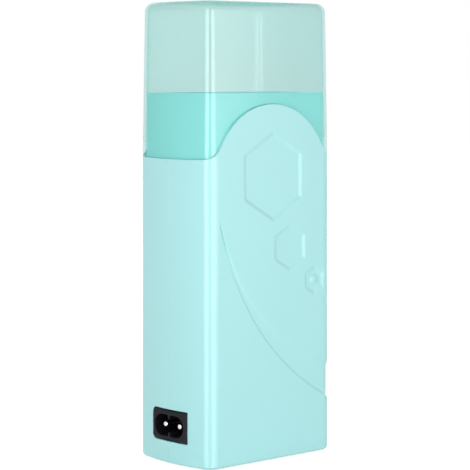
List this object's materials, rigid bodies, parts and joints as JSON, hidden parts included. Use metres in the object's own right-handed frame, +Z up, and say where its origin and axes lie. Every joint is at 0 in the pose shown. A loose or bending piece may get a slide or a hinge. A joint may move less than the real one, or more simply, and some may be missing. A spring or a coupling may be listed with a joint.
{
  "type": "roll on wax heater",
  "caption": "Upright hand-held heater for a roll-on wax cartridge: a slim rounded casing with honeycomb panels and a clear tinted cap that lifts off, a mains socket low on one side.",
  "frame": {"origin": "centre of the footprint, on the surface that the feet stand on", "axes": "+Z up; the front broad face with the pilot light looks along -Y, the mains inlet along -X and the window and button along +X"},
  "size_m": [0.07, 0.0436, 0.1806],
  "materials": {
    "casing_plastic": "glossy moulded ABS, pale aqua",
    "cap_plastic": "clear tinted, polished",
    "window_plastic": "clear, polished",
    "button_plastic": "glossy white",
    "inlet_plastic": "black, semi-matt",
    "foot_rubber": "matt black",
    "cup_aluminium": "drawn sheet, satin",
    "screw_steel": "zinc plated",
    "contact_metal": "nickel plated brass",
    "spring_steel": "bare spring steel",
    "heater_ceramic": "dark fired ceramic",
    "electrode_brass": "bare sheet",
    "polyimide_film": "amber film",
    "component_black": "moulded black",
    "fuse_ceramic": "cream ceramic",
    "board_laminate": "green solder mask",
    "capacitor_case": "yellow box",
    "resistor_body": "beige lacquer",
    "wire_red": "red silicone",
    "wire_brown": "brown silicone",
    "wire_blue": "blue silicone",
    "wire_grey": "grey silicone",
    "switch_white": "moulded white"
  },
  "bodies": {
    "casing": {"front_shell": "casing_plastic", "rear_shell": "casing_plastic", "neck_ring": "casing_plastic", "base_plate": "casing_plastic", "base_screws": "screw_steel", "rubber_feet": "foot_rubber", "heating_cup": "cup_aluminium", "heater_stones": "heater_ceramic", "electrode_sheets": "electrode_brass", "insulating_films": "polyimide_film", "heater_clip": "spring_steel", "thermostat": "component_black", "thermostat_bracket": "spring_steel", "thermal_fuse": "fuse_ceramic", "wire_splice": "wire_red", "inlet_housing": "inlet_plastic", "inlet_pins": "contact_metal", "level_window": "window_plastic", "switch_body": "component_black", "circuit_board": "board_laminate", "capacitor": "capacitor_case", "resistors": "resistor_body", "pilot_lens": "window_plastic", "pilot_led_board": "board_laminate", "live_wire": "wire_brown", "neutral_wire": "wire_blue", "thermostat_wire": "wire_red", "fuse_wire": "wire_red", "front_link_wire": "wire_red", "rear_link_wire": "wire_red", "front_heater_wire": "wire_blue", "rear_heater_wire": "wire_blue", "pilot_wires": "wire_grey"},
    "cap": {"cap": "cap_plastic"},
    "button": {"power_button": "button_plastic", "switch_plunger": "switch_white"}
  },
  "joints": [
    {"name": "cap_lift", "type": "slide", "parent": "casing", "child": "cap", "axis": [0, 0, 1], "range_m": [0, 0.07]},
    {"name": "button_press", "type": "slide", "parent": "casing", "child": "button", "axis": [-1, 0, 0], "range_m": [0, 0.0015], "stiffness_N_per_m": 800, "springref_m": -0.001}
  ]
}
